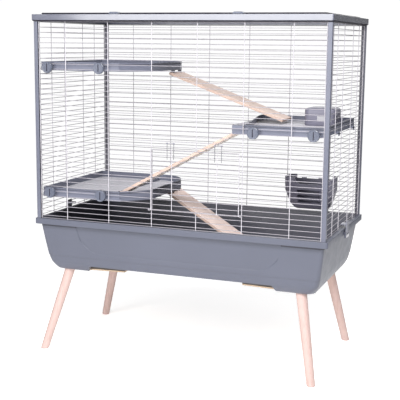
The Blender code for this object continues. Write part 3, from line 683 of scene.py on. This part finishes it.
def grid_into(bm, place, half_width, z_range, levels, columns, gap=None):
    """Level wires behind, upright wires in front. place maps (across, depth, up) to the cage, with
    depth positive outwards. gap is an opening (x range, z range) that the wires stop at."""
    low, high = z_range
    # level wires take look 1, the painted-shade copy of the wire paint
    level_depth, upright_depth = -0.00110, 0.00088
    for z in [low + BORDER / 2, *levels, high - BORDER / 2]:
        spans = [(-half_width, half_width)]
        if gap and gap[1][0] < z < gap[1][1]:
            spans = [(-half_width, gap[0][0]), (gap[0][1], half_width)]
        for start, end in spans:
            rod_into(bm, place(start, level_depth, z), place(end, level_depth, z), LEVEL_R, look=1)
    for x in [-half_width + UPRIGHT_R, *columns, half_width - UPRIGHT_R]:
        spans = [(low, high)]
        if gap and gap[0][0] < x < gap[0][1]:
            spans = [(low, gap[1][0]), (gap[1][1], high)]
        for start, end in spans:
            rod_into(bm, place(x, upright_depth, start), place(x, upright_depth, end), UPRIGHT_R)


def make_panels():
    def make_panel(name, node, place, half_width, columns, gap=None):
        bm = bmesh.new()
        grid_into(bm, place, half_width, PANEL_Z, LEVELS, columns, gap)
        if gap:
            (x0, x1), (z0, z1) = gap
            for start, end in in_turn([(x0, z0), (x1, z0), (x1, z1), (x0, z1)]):
                rod_into(bm, place(start[0], 0, start[1]), place(end[0], 0, end[1]), 0.0008, look=1)
        piece(name, bm, WIRE_LOOKS, "cage", node)

    def at_front(x, depth, z):
        return x, -FRONT_Y - depth, z

    def at_back(x, depth, z):
        return x, FRONT_Y + depth, z

    make_panel("front_wires", "panel_front", at_front, FRONT_HALF, FRONT_UPRIGHTS, (DOORWAY_X, DOORWAY_Z))
    make_panel("back_wires", "panel_back", at_back, FRONT_HALF, BACK_UPRIGHTS)
    for side, sign in SIDES.items():

        def at_side(y, depth, z):
            return sign * (SIDE_X + depth), y, z

        make_panel(f"{side}_wires", f"panel_{side}", at_side, SIDE_HALF, SIDE_UPRIGHTS)


# ---- roof ---------------------------------------------------------------------------------------

HINGE_X, CATCH_X = 0.300, 0.205
LID_AXIS_Y, LID_AXIS_Z = 0.2482, 1.1335


def make_roof():
    lid = framed_ring((0.472, 0.250), 0.036, (1.1310, 1.1350), corner=0.012, fillet=0.0010)
    notches = []
    for sign in SIDES.values():
        x = sign * HINGE_X
        notches.append(((x - 0.013, 0.2385, 1.12), (x + 0.013, 0.26, 1.14)))
        x = sign * CATCH_X
        notches.append(((x - 0.0176, -0.26, 1.12), (x + 0.0176, -0.228, 1.14)))
    bm = carve(lid, ("DIFFERENCE", boxes(*notches)))
    look_where(bm, lambda face: face.normal.z < 0.5)
    piece("roof_rim", bm, [FRAME, FRAME_SHADE], "roof", "roof_lid")

    bm = bmesh.new()
    half_x, half_y, z, rows = 0.452, 0.226, 1.1284, 26
    z_long, z_cross = z + 0.0011, z - 0.0009
    pitch = (2 * half_y - BORDER) / rows
    for row in range(rows + 1):
        y = -half_y + BORDER / 2 + pitch * row
        rod_into(bm, (-half_x, y, z_long), (half_x, y, z_long), LEVEL_R, look=1)
    for x in (-half_x + 0.0013, -0.2264, 0.0, 0.2264, half_x - 0.0013):
        rod_into(bm, (x, -half_y, z_cross), (x, half_y, z_cross), UPRIGHT_R)
    piece("roof_wires", bm, WIRE_LOOKS, "roof", "roof_wire")

    for side, sign in SIDES.items():
        x = sign * HINGE_X
        node = f"roof_hinge_{side}"
        bm = boxes(((x - 0.010, LID_AXIS_Y - 0.005, 1.1303), (x + 0.010, LID_AXIS_Y + 0.005, 1.1372)))
        ends = [(x + reach, LID_AXIS_Y, LID_AXIS_Z) for reach in (-0.02, 0.02)]
        clip = soften(bored(bm, *ends, 24), 0.0009, 3)
        piece(f"clip_{node}", clip, FRAME, "cage", node)
        keep(f"roof_hinge_pin_{side}")
        make_catch(side, sign * CATCH_X)


def make_catch(side, x):
    """A sliding catch with a dished finger pull and three ridges."""
    half, (y0, y1), (z0, z1) = 0.017, (-0.2625, -0.2350), (1.1306, 1.1372)
    rings = []
    for inside, z in ((0.0, z0), (0.0, z0 + 0.0022), (0.0045, z1)):
        x_range = (x - half + inside, x + half - inside)
        y_range = (y0 + inside * 0.3, y1 - inside * 0.3)
        rings.append(rounded(x_range, y_range, 0.0022, z, 3))
    bm = loft(rings)
    dish = boxes(((x - half + 0.008, -0.2555, z1 - 0.002), (x + half - 0.008, -0.2420, z1 + 0.01)))
    bm = soften(carve(bm, ("DIFFERENCE", dish)), 0.0009, 3)
    margin, z = 0.0090, z1 - 0.0018
    for y in (-0.2530, -0.2488, -0.2446):
        rod_into(bm, (x - half + margin, y, z), (x + half - margin, y, z), 0.0009)
    piece(f"sliding_catch_{side}", bm, KNOB, f"catch_{side}", f"lid_catch_{side}")


# ---- front door ---------------------------------------------------------------------------------


def make_door():
    middle, axis_y, axis_z = 0.070, -0.2580, 0.5185
    half, (low, high), rows = 0.1485, (0.5165, 0.7130), 11

    def place(x, depth, z):
        return middle + x, axis_y - depth, z

    bm = bmesh.new()
    levels = evenly((low, high), rows)
    grid_into(bm, place, half, (low, high), levels, (-0.0755, 0.0755))
    inside = 0.0015
    z0, z1 = low + inside, high - inside
    corners = [
        (middle - half + inside, axis_y, z0),
        (middle + half - inside, axis_y, z0),
        (middle + half - inside, axis_y, z1),
        (middle - half + inside, axis_y, z1),
    ]
    for start, end in in_turn(corners):
        rod_into(bm, start, end, LEVEL_R, 10, 1)
    for sign in (-1, 1):
        start, end = middle + sign * 0.1440, middle + sign * 0.1575
        rod_into(bm, (start, axis_y, axis_z), (end, axis_y, axis_z), 0.0012, 12, 1)
    piece("door_wires", bm, WIRE_LOOKS, "door", "front_door")
    for side, sign in SIDES.items():
        x = middle + sign * 0.153
        bm = boxes(((x - 0.0024, -0.2607, axis_z - 0.0032), (x + 0.0024, -0.2552, axis_z + 0.0032)))
        ends = [(x + reach, axis_y, axis_z) for reach in (-0.02, 0.02)]
        bracket = soften(bored(bm, *ends, 20), 0.0006)
        piece(f"bracket_door_{side}", bracket, WIRE_SHADED, "cage", f"door_hinge_{side}")
    for side, x in zip(SIDES, (-0.009, 0.1495)):
        make_latch(side, x)


def make_latch(side, x):
    """An upside-down U of bent wire, with a plastic tip over each bend."""
    half, y, (low, high) = 0.01115, -0.2617, (0.682, 0.7340)
    bm = bmesh.new()
    corners = [(x - half, y, low), (x - half, y, high), (x + half, y, high), (x + half, y, low)]
    tube_into(bm, bend(corners, 0.0035), 0.0011, 10)
    tip_half, tip_z = 0.0032, high - 0.0004
    for sign in (-1, 1):
        tip = x + sign * half
        rod_into(bm, (tip - tip_half, y, tip_z), (tip + tip_half, y, tip_z), 0.0017, 12, 1)
    name = f"door_latch_{side}"
    piece(f"bent_{name}", bm, [STEEL, DARK], f"latch_{side}", name)


# ---- platforms ----------------------------------------------------------------------------------


def row_above(z):
    """The top of the first level wire over the height z."""
    first = ROW_FIRST + LEVEL_R
    return first + ROW_PITCH * math.ceil((z - first) / ROW_PITCH)


def tray(outline, z_range, open_side=None):
    """A moulded tray: a lipped, grooved wall round a ribbed floor. open_side is a box cut out of it."""
    low, high = z_range
    middle = low + (high - low) * 0.46
    levels = [
        (0.0006, low),
        (0.0, low + 0.0008),
        (0.0, middle - 0.0008),
        (0.0007, middle),
        (0.0007, high - 0.0078),
        (0.0007, high - 0.0060),
        (0.0014, high - 0.0054),
        (0.0014, high - 0.0042),
        (0.0, high - 0.0036),
        (0.0, high - 0.0007),
        (0.0007, high),
        (WALL - 0.0005, high),
        (WALL, high - 0.0006),
        (WALL, low + TRAY_FLOOR + 0.0015),
        (WALL + 0.0015, low + TRAY_FLOOR),
    ]
    rings = []
    for distance, z in levels:
        moved = inset(outline, distance) if distance else outline
        rings.append([(x, y, z) for x, y in moved])
    body = loft(rings)
    under = prism(inset(outline, WALL), low - 0.01, low + TRAY_FLOOR - WALL)
    steps = [("DIFFERENCE", under)]
    if open_side:
        steps.append(("DIFFERENCE", boxes(open_side)))
    bm = carve(body, *steps)

    xs, ys = [x for x, _ in outline], [y for _, y in outline]
    x_low, x_high = min(xs), max(xs)
    bars = bmesh.new()
    z = low + TRAY_FLOOR
    pitch, half = 0.0085, 0.0014
    y = min(ys) + 0.010
    while y < max(ys) - 0.006:
        box_into(bars, (x_low, y - half, z - 0.0008), (x_high, y + half, z + 0.0009))
        y += pitch
    inner = prism(inset(outline, WALL + 0.004), z - 0.003, z + 0.003)
    absorb(bm, carve(bars, ("INTERSECT", inner)))
    for face in bm.faces:
        centre = face.calc_center_median()
        if abs(centre.z - z) < 0.0012 and x_low + WALL < centre.x < x_high - WALL:
            face.material_index = 1
        # the groove under the lip gets painted shade
        if high - 0.0077 < centre.z < high - 0.0053:
            face.material_index = 2
    return bm


def hook_spans(inner, middle_plane, wire_top):
    """A hook over a level wire: how far out and how high its arm and its drop each reach."""
    drop = middle_plane + PANEL_OUT + HOOK_GAP
    return (
        ((inner, drop + HOOK_THICK), (wire_top + 0.0003, wire_top + 0.007)),
        ((drop, drop + HOOK_THICK), (wire_top - 0.006, wire_top + 0.004)),
    )


def hooks_into(bm, sign, tray_x, low):
    half = 0.009
    for y in (-0.110, 0.110):
        for x_pair, (z0, z1) in hook_spans(tray_x - 0.002, SIDE_X, row_above(low + 0.0005)):
            x_low, x_high = sorted(sign * x for x in x_pair)
            box_into(bm, (x_low, y - half, z0), (x_high, y + half, z1))


def lugs_into(bm, ramp, high, reach=0.0):
    """Rounded knuckles round the ramp's pin."""
    (x, z), y = PIVOTS[ramp][:2]
    for centre in (y - NOTCH_Y, y + NOTCH_Y):
        ring = []
        for k in range(13):
            angle = math.pi + math.pi * k / 12
            ring.append((x + LUG_R * math.cos(angle), z + LUG_R * math.sin(angle)))
        ring += [(x + LUG_R + reach, high - 0.004), (x + LUG_R + reach, high), (x - LUG_R, high)]
        faces_y = (centre - LUG_W / 2, centre + LUG_W / 2)
        loft_into(bm, [[(px, py, pz) for px, pz in ring] for py in faces_y])


LANDING_LEFT, LANDING_RIGHT = -0.2410, -0.1180
LEFT_X, RIGHT_EDGE = (-0.476, -0.2413), 0.4750
UPPER_Z, LOWER_Z, RIGHT_Z = (0.951, 0.979), (0.533, 0.565), (0.771, 0.800)
DIVIDER = 0.017  # height of the low wall that is left between a platform and its landing


def make_platforms():
    radius = 0.110
    middle = Vector((LANDING_RIGHT - radius, TRAY_BACK - radius))
    arc = [
        tuple(middle + radius * Vector((math.cos(math.radians(a)), math.sin(math.radians(a)))))
        for a in range(0, 91, 6)
    ]
    landing = [(LANDING_LEFT, TRAY_FRONT), (-0.195, TRAY_FRONT), (LANDING_RIGHT, -0.163)]
    landing += arc + [(LANDING_LEFT, TRAY_BACK)]
    left = [
        (LEFT_X[0], TRAY_FRONT),
        (LEFT_X[1], TRAY_FRONT),
        (LEFT_X[1], TRAY_BACK),
        (LEFT_X[0], TRAY_BACK),
    ]
    for level, z_range in {"upper": UPPER_Z, "lower": LOWER_Z}.items():
        low, high = z_range
        above_divider = (
            (LEFT_X[1] - 0.006, TRAY_FRONT + WALL, low + DIVIDER),
            (LEFT_X[1] + 0.006, TRAY_BACK - WALL, high + 0.01),
        )
        bm = tray(left, z_range, above_divider)
        hooks_into(bm, -1, -LEFT_X[0], low)
        name = f"platform_{level}_left"
        piece(f"moulded_{name}", bm, TRAY_LOOKS, "cage", name, 32)

        bm = tray(landing, z_range, above_divider)
        lugs_into(bm, level, low + TRAY_FLOOR - 0.001)
        name = f"landing_{level}"
        piece(f"moulded_{name}", bm, TRAY_LOOKS, "cage", name, 32)

    right = [
        (0.2255, TRAY_FRONT),
        (RIGHT_EDGE, TRAY_FRONT),
        (RIGHT_EDGE, TRAY_BACK),
        (0.1640, TRAY_BACK),
        (0.1500, 0.176),
        (0.1520, 0.140),
        (0.1700, 0.050),
        (0.1990, -0.090),
    ]
    bm = tray(right, RIGHT_Z)
    hooks_into(bm, 1, RIGHT_EDGE, RIGHT_Z[0])
    piece("moulded_platform_right", bm, TRAY_LOOKS, "cage", "platform_right", 32)

    wedge = [(0.1870, -0.244), (0.2220, -0.244), (0.1957, -0.092), (0.1905, -0.070), (0.1870, -0.070)]
    bm = soften(prism(wedge, RIGHT_Z[0], RIGHT_Z[1] - 0.002), 0.0008)
    lugs_into(bm, "middle", 0.7790, 0.0065)
    piece("moulded_bracket", bm, TRAY, "cage", "ramp_bracket", 32)


# ---- clamp knobs --------------------------------------------------------------------------------

KNOBS = {  # the middle of each, across and up
    "upper_left": (-0.444, 0.9610),
    "upper_right": (-0.258, 0.9610),
    "lower_left": (-0.441, 0.5505),
    "lower_right": (-0.255, 0.5505),
    "side_left": (0.259, 0.7770),
    "side_right": (0.447, 0.7770),
}


def make_knobs():
    """A dished disc with a rolled edge and a coin slot, on its shaft."""
    profile = [  # radius and y, from the shaft's inner end to the dished face
        (0.0022, -0.2444),
        (0.0022, -0.2556),
        (0.0172, -0.2556),
        (0.0185, -0.2566),
        (0.0185, -0.2630),
        (0.0180, -0.2642),
        (0.0170, -0.2648),
        (0.0158, -0.2646),
        (0.0146, -0.2639),
    ]
    slot_half, slot_reach, slot_floor, margin = 0.0017, 0.012, -0.2606, 0.00005
    for place, (x, z) in KNOBS.items():

        def in_slot(face):
            centre = face.calc_center_median()
            between_walls = abs(centre.x - x) < slot_half + margin and -0.2638 < centre.y < -0.2600
            return between_walls and abs(centre.z - z) < slot_reach + 2 * margin

        knob = loft([[(x + a, y, z + b) for a, b in circle(radius, 48)] for radius, y in profile])
        low = (x - slot_half, -0.2748, z - slot_reach)
        high = (x + slot_half, slot_floor, z + slot_reach)
        bm = carve(knob, ("DIFFERENCE", boxes((low, high))))
        # the slot's walls and floor get painted shade
        look_where(bm, in_slot)
        name = f"knob_{place}"
        piece(f"clamp_{name}", bm, [KNOB, KNOB_SLOT_SHADE], name, name, 32)


# ---- ramps --------------------------------------------------------------------------------------


def make_ramps():
    for name, ((x, z), y, width, slope, length) in PIVOTS.items():
        half, thick, notch_half = width / 2, 0.0045, 0.0065
        bm = boxes(((-0.0045, -half, -thick), (length, half, thick)))
        notches = [
            ((-0.02, centre - notch_half, -0.01), (0.008, centre + notch_half, 0.01))
            for centre in (-NOTCH_Y, NOTCH_Y)
        ]
        bm = soften(carve(bm, ("DIFFERENCE", boxes(*notches))), 0.0009)
        look_where(bm, lambda face: abs(face.normal.z) < 0.5)
        looks = [BIRCHES_AS_LIT[name], BIRCH_EDGE]
        made = piece(f"board_ramp_{name}", bm, looks, f"ramp_{name}", f"ramp_{name}")
        tilt = Matrix.Rotation(math.radians(slope), 4, "Y")
        made.matrix_world = Matrix.Translation((x, y, z)) @ tilt
        keep(f"ramp_pin_{name}")


# ---- feeder and bowl ----------------------------------------------------------------------------


def make_feeder():
    """A hay feeder: a ledge and slats on its slanting front, ears either side of the scoop."""
    centre, back = 0.330, 0.2465
    sections = [  # height, half width, front and corner radius
        (0.475, 0.058, 0.200, 0.020),
        (0.478, 0.062, 0.196, 0.021),
        (0.492, 0.072, 0.182, 0.022),
        (0.545, 0.087, 0.158, 0.022),
        (0.590, 0.087, 0.155, 0.022),
    ]

    def ring(section, wall=0.0, lift=0.0):
        z, half, front, radius = section
        x_range = (centre - half + wall, centre + half - wall)
        return rounded(x_range, (front + wall, back - wall), radius - wall, z + lift)

    shell = loft([ring(section) for section in sections])
    inside = loft([ring(section, WALL, WALL) for section in sections])
    half_scoop = ((-0.056, 0.62), (-0.052, 0.584), (-0.046, 0.573), (-0.036, 0.568))
    edge = half_scoop + tuple((-x, z) for x, z in reversed(half_scoop))
    scoop = loft([[(centre + 0.006 + x, y, z) for x, z in edge] for y in (0.14, 0.200)])
    slots = [((0.290, 0.14, z), (0.370, 0.20, z + 0.009)) for z in (0.500, 0.519, 0.538)]
    low_back = boxes(((centre - 0.062, 0.230, 0.5765), (centre + 0.066, 0.260, 0.60)))
    steps = [("DIFFERENCE", inside), ("DIFFERENCE", scoop), ("DIFFERENCE", boxes(*slots))]
    steps.append(("DIFFERENCE", low_back))
    bm = soften(carve(shell, *steps), 0.0006, 2, 45)
    for x in (0.285, 0.345):
        for (y0, y1), (z0, z1) in hook_spans(back - 0.002, FRONT_Y, row_above(0.565)):
            box_into(bm, (x, y0, z0), (x + 0.015, y1, z1))
    piece("moulded_feeder", bm, DARK, "cage", "hay_feeder", 32)


def make_bowl():
    """A food bowl with two pale window panes in front, under its domed hood."""
    x_range, y_range, (low, high) = (0.342, 0.446), (0.020, 0.125), (0.7803, 0.8200)

    def ring(z, wall=0.0):
        inner_x, inner_y = ((start + wall, end - wall) for start, end in (x_range, y_range))
        return rounded(inner_x, inner_y, 0.020 - min(wall, 0.012), z)

    bowl = loft([ring(low, 0.005), ring(low + 0.001, 0.003), ring(low + 0.006), ring(high)])
    inside = loft([ring(low + 0.003, 0.006), ring(low + 0.006, WALL), ring(high + 0.01, WALL)])
    panes = bmesh.new()
    for x_low, x_high in ((0.387, 0.411), (0.4215, 0.4395)):
        box_into(panes, (x_low, 0.0, 0.797), (x_high, 0.0213, 0.815), 1)
    bm = soften(carve(bowl, ("DIFFERENCE", inside), ("DIFFERENCE", panes)), 0.0006, 2, 45)
    piece("moulded_bowl", bm, [DARK, TRAY_FLOOR_LOOK], "cage", "food_bowl", 32)

    gap, top = 0.0003, 0.8420
    base, rise = high + gap, top - high - gap
    # how far each ring lies inside the bowl's wall, and its share of the hood's height
    dome = [(0.0, 0.0), (0.0, 0.42), (0.0012, 0.60), (0.004, 0.75), (0.010, 0.88)]
    dome += [(0.022, 0.97), (0.036, 1.0)]
    lining = [(WALL, -0.1), (WALL, 0.40), (0.0075, 0.66), (0.016, 0.80), (0.030, 0.86)]
    hood = loft([ring(base + rise * up, wall) for wall, up in dome])
    hollow = loft([ring(base + rise * up, wall) for wall, up in lining])
    bm = carve(hood, ("DIFFERENCE", hollow))
    piece("moulded_hood", bm, DARK, "cage", "food_bowl_hood", 40)


# ---- rim clips ----------------------------------------------------------------------------------


def make_rim_clips():
    axis_x, axis_z, (y0, y1) = 0.5052, 0.4450, (-0.032, 0.008)
    for side, sign in SIDES.items():

        def upright(x_range, y_range, z_range):
            low_x, high_x = sorted(sign * x for x in x_range)
            return boxes(((low_x, y_range[0], z_range[0]), (high_x, y_range[1], z_range[1])))

        low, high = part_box(f"clip_base_{side}")
        base = boxes((low, high))
        fork = upright((0.5020, 0.52), (y0 + 0.004, y1 - 0.004), (0.4412, 0.46))
        ends = [(sign * axis_x, y, axis_z) for y in (y0 - 0.01, y1 + 0.01)]
        bm = soften(bored(base, *ends, 20, ("DIFFERENCE", fork)), 0.0006)
        piece(f"moulded_clip_base_{side}", bm, FRAME, "cage", f"clip_base_{side}")

        low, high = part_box(f"rim_clip_{side}")
        inner_y = (y0 + 0.0046, y1 - 0.0046)
        nose = row_above(0.470) + 0.0010
        bm = soften(upright((0.5035, 0.5070), inner_y, (low.z, high.z)), 0.0009, 3)
        arm = soften(upright((0.4868, 0.5050), inner_y, (nose, nose + 0.003)), 0.0006)
        absorb(bm, arm)
        start, end = ((sign * axis_x, y, axis_z) for y in (y0 + 0.0005, y1 - 0.0005))
        rod_into(bm, start, end, 0.0015, 12)
        piece(f"moulded_rim_clip_{side}", bm, PALE, f"clip_{side}", f"rim_clip_{side}")


# ---- camera, floor and light --------------------------------------------------------------------


def make_camera():
    """A long lens that stands in front of the cage, to its right and a little over its middle."""
    camera = bpy.data.objects.new("camera", bpy.data.cameras.new("camera"))
    camera.data.sensor_width = 36.0
    camera.data.lens = 83.32
    camera.data.clip_end = 60.0
    position, target = Vector((1.0987, -2.9194, 1.0444)), Vector((-0.0074, 0.0, 0.5142))
    back = (position - target).normalized()
    right = Vector((0.0, 0.0, 1.0)).cross(back).normalized()
    up = back.cross(right)
    roll = math.radians(0.591)
    turned_right = right * math.cos(roll) + up * math.sin(roll)
    turned_up = up * math.cos(roll) - right * math.sin(roll)
    basis = Matrix((turned_right, turned_up, back)).transposed()
    camera.matrix_world = Matrix.Translation(position) @ basis.to_4x4()
    scene.collection.objects.link(camera)
    scene.camera = camera


def make_floor():
    look = Look("floor_white")
    look.link(
        look.ramp(look.noise(2.0), (0.3, (0.88, 0.88, 0.88)), (0.7, (0.90, 0.90, 0.90))),
        look.shader.inputs["Base Color"],
    )
    look.shader.inputs["Emission Color"].default_value = (1.0, 1.0, 1.0, 1.0)
    look.shader.inputs["Emission Strength"].default_value = 0.56
    look.shader.inputs["Specular IOR Level"].default_value = 0.0
    look.shader.inputs["Roughness"].default_value = 0.9
    bm = bmesh.new()
    bmesh.ops.create_grid(bm, x_segments=8, y_segments=8, size=2.3)
    mesh = bpy.data.meshes.new("floor")
    bm.to_mesh(mesh)
    bm.free()
    floor = bpy.data.objects.new("floor", mesh)
    floor.location.z = -0.0005  # just under the feet
    mesh.materials.append(look.material)
    scene.collection.objects.link(floor)


def area_light(name, place, aim, size, power):
    light = bpy.data.lights.new(name, "AREA")
    light.shape = "RECTANGLE"
    light.size, light.size_y = size
    light.energy = power
    made = bpy.data.objects.new(name, light)
    made.location = place
    made.rotation_euler = (Vector(aim) - Vector(place)).to_track_quat("-Z", "Y").to_euler()
    scene.collection.objects.link(made)
    return made


def make_lights():
    """Soft light from all round, under a backdrop that only the camera sees, and five lamps."""
    world = bpy.data.worlds.new("studio")
    world.use_nodes = True
    tree = world.node_tree
    room = tree.nodes["Background"]
    room.inputs["Color"].default_value = (1.0, 1.0, 1.0, 1.0)
    room.inputs["Strength"].default_value = 0.17
    backdrop = tree.nodes.new("ShaderNodeBackground")
    backdrop.inputs["Color"].default_value = (1.0, 1.0, 1.0, 1.0)
    backdrop.inputs["Strength"].default_value = 1.02
    path, choice = tree.nodes.new("ShaderNodeLightPath"), tree.nodes.new("ShaderNodeMixShader")
    tree.links.new(path.outputs["Is Camera Ray"], choice.inputs["Fac"])
    tree.links.new(room.outputs["Background"], choice.inputs[1])
    tree.links.new(backdrop.outputs["Background"], choice.inputs[2])
    tree.links.new(choice.outputs["Shader"], tree.nodes["World Output"].inputs["Surface"])
    scene.world = world
    area_light("softbox", (-0.70, -3.0, 1.65), (-0.2, 0.0, 1.2), (2.15, 2.1), 88.0)
    area_light("key", (1.0, -2.2, 2.5), (0.2, 0.0, 0.5), (1.0, 0.8), 98.0)
    area_light("side", (2.1, -0.8, 2.4), (0.3, 0.0, 0.9), (1.0, 1.0), 13.0)
    area_light("overhead", (0.3, -0.2, 3.2), (0.0, 0.0, 0.6), (2.4, 1.6), 12.0)
    behind = area_light("behind", (-0.2, 3.5, 1.9), (-0.1, 0.0, 0.6), (2.0, 3.4), 36.0)
    behind.visible_camera = False
    scene.view_settings.view_transform = "Standard"


make_camera()
make_tub()
make_legs()
make_leg_boards()
make_posts()
make_top_frame()
make_panels()
make_roof()
make_door()
make_platforms()
make_knobs()
make_ramps()
make_feeder()
make_bowl()
make_rim_clips()
make_floor()
make_lights()
